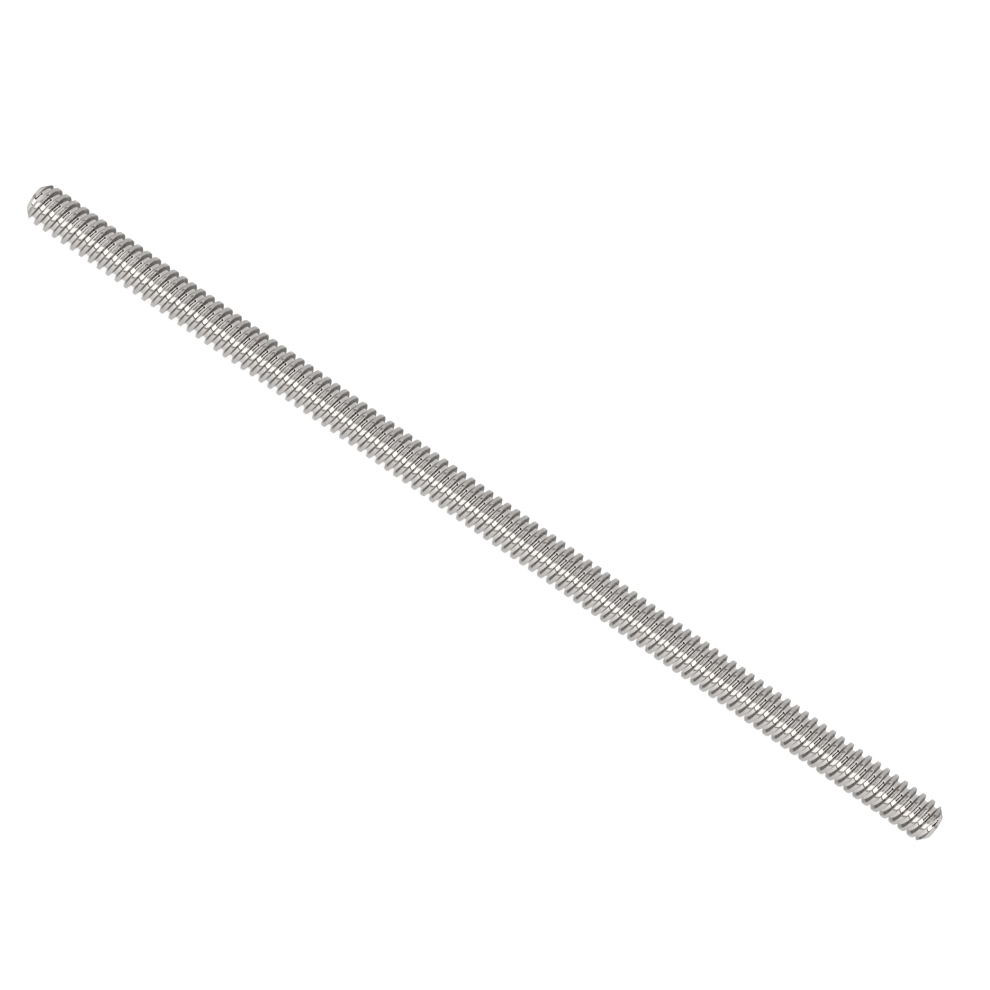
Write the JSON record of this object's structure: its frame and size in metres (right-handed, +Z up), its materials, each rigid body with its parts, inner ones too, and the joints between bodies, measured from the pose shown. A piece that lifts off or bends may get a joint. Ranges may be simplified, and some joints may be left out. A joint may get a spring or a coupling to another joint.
{
  "type": "lead screw",
  "caption": "Left-hand trapezoidal lead screw: a slim steel bar with a multi-start thread over its whole length and chamfered ends, which drives a nut along its axis.",
  "frame": {"origin": "centre of the drive end's face, on the screw's axis", "axes": "+X along the axis from the drive end to the free end, +Z up as the screw lies or runs level"},
  "size_m": [0.2, 0.008, 0.008],
  "materials": {
    "steel": "bright rolled stainless steel"
  },
  "bodies": {
    "root": {"lead_screw": "steel"}
  },
  "joints": []
}
